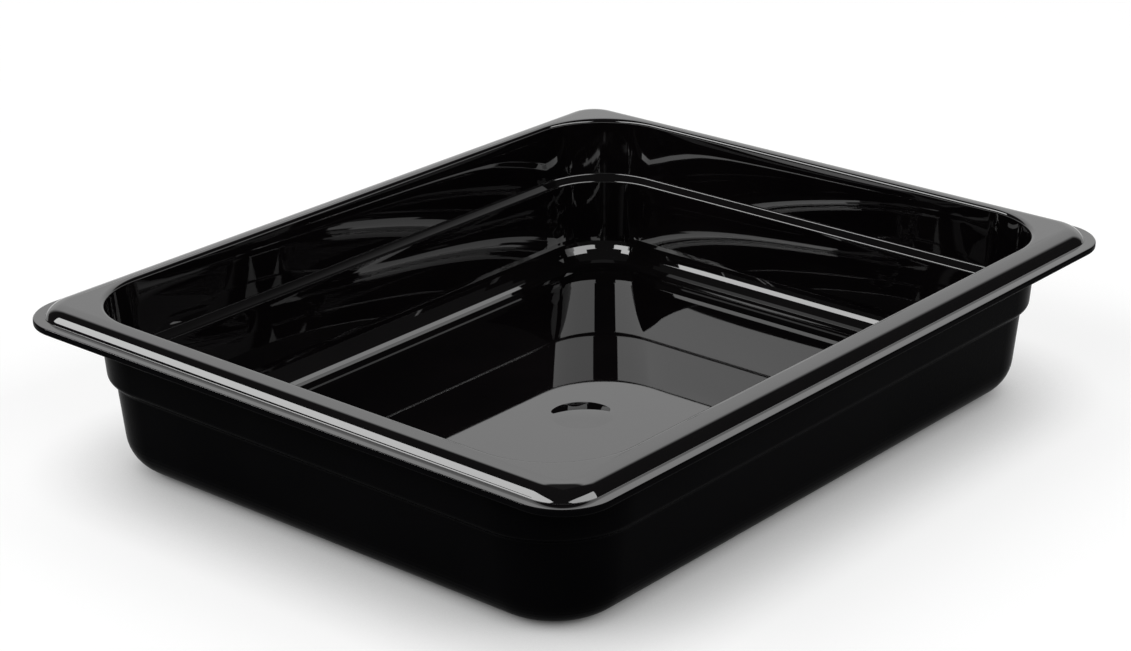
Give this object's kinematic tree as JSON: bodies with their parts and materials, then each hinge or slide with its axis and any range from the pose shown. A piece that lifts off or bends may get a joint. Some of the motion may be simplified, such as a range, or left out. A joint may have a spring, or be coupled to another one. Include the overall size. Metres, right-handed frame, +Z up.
{
  "type": "food pan",
  "caption": "Shallow rectangular half-size food pan with a rolled rim, a flat lip, a stepped stacking shoulder and a rounded well.",
  "frame": {"origin": "centre of the pan's underside, on the plane it stands on", "axes": "+Z up out of the mouth, +Y along the long side, +X along the short side"},
  "size_m": [0.265, 0.325, 0.065],
  "materials": {
    "black_polycarbonate": "moulded gloss"
  },
  "bodies": {
    "root": {"food_pan": "black_polycarbonate"}
  },
  "joints": []
}
